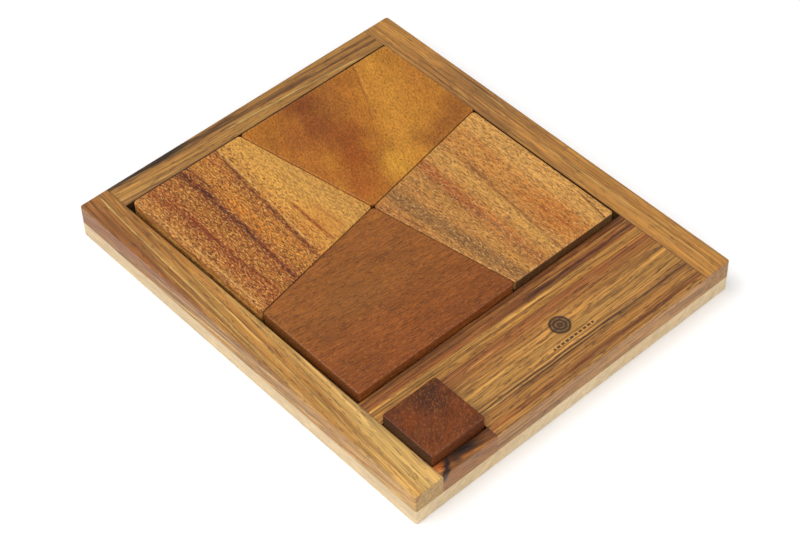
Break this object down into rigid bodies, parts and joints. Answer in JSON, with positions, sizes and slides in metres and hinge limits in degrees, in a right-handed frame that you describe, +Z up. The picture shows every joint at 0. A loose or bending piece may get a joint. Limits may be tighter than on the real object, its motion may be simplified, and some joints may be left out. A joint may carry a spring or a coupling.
{
  "type": "dissection tray puzzle",
  "caption": "Flat wooden tray puzzle: loose slanted tiles fill a square pocket, and a small loose square waits in a recess at the front corner.",
  "frame": {"origin": "centre of the tray's flat underside", "axes": "+Z up through the tray, +Y from the shelf at the front to the plain rail at the back, +X to the right across the front"},
  "size_m": [0.13, 0.155, 0.017],
  "materials": {
    "base_panel": "pale close-grained wood, sanded and lightly oiled",
    "side_rails": "golden striped wood, sanded and oiled to a satin",
    "back_rail": "golden wood with a dark heartwood streak, satin oil",
    "cross_rail": "strongly striped brown and tan wood, satin oil",
    "shelf_board": "tan wood with fine dark lines, satin oil",
    "recess_lip": "knotty tan wood with a black figure, satin oil",
    "golden_tile": "smooth golden-brown cloudy wood, satin oil",
    "streaked_tile": "coarse orange-tan wood with dark red-brown streaks, satin oil",
    "red_brown_tile": "even red-brown wood with short dark pores, satin oil",
    "tan_tile": "tan-orange wood with grey-brown streaks, satin oil",
    "small_square": "dark red-brown mottled wood, satin oil"
  },
  "bodies": {
    "tray": {"base_panel": "base_panel", "left_rail": "side_rails", "right_rail": "side_rails", "back_rail": "back_rail", "cross_rail": "cross_rail", "shelf_board": "shelf_board", "recess_lip": "recess_lip"},
    "tile_back_right": {"tile_back_right": "golden_tile"},
    "tile_back_left": {"tile_back_left": "streaked_tile"},
    "tile_front_left": {"tile_front_left": "red_brown_tile"},
    "tile_front_right": {"tile_front_right": "tan_tile"},
    "small_square": {"small_square": "small_square"}
  },
  "joints": [
    {"name": "tile_back_right_lift", "type": "slide", "parent": "tray", "child": "tile_back_right", "axis": [0, 0, 1], "range_m": [0, 0.03]},
    {"name": "tile_back_left_lift", "type": "slide", "parent": "tray", "child": "tile_back_left", "axis": [0, 0, 1], "range_m": [0, 0.03]},
    {"name": "tile_front_left_lift", "type": "slide", "parent": "tray", "child": "tile_front_left", "axis": [0, 0, 1], "range_m": [0, 0.03]},
    {"name": "tile_front_right_lift", "type": "slide", "parent": "tray", "child": "tile_front_right", "axis": [0, 0, 1], "range_m": [0, 0.03]},
    {"name": "small_square_lift", "type": "slide", "parent": "tray", "child": "small_square", "axis": [0, 0, 1], "range_m": [0, 0.03]}
  ]
}
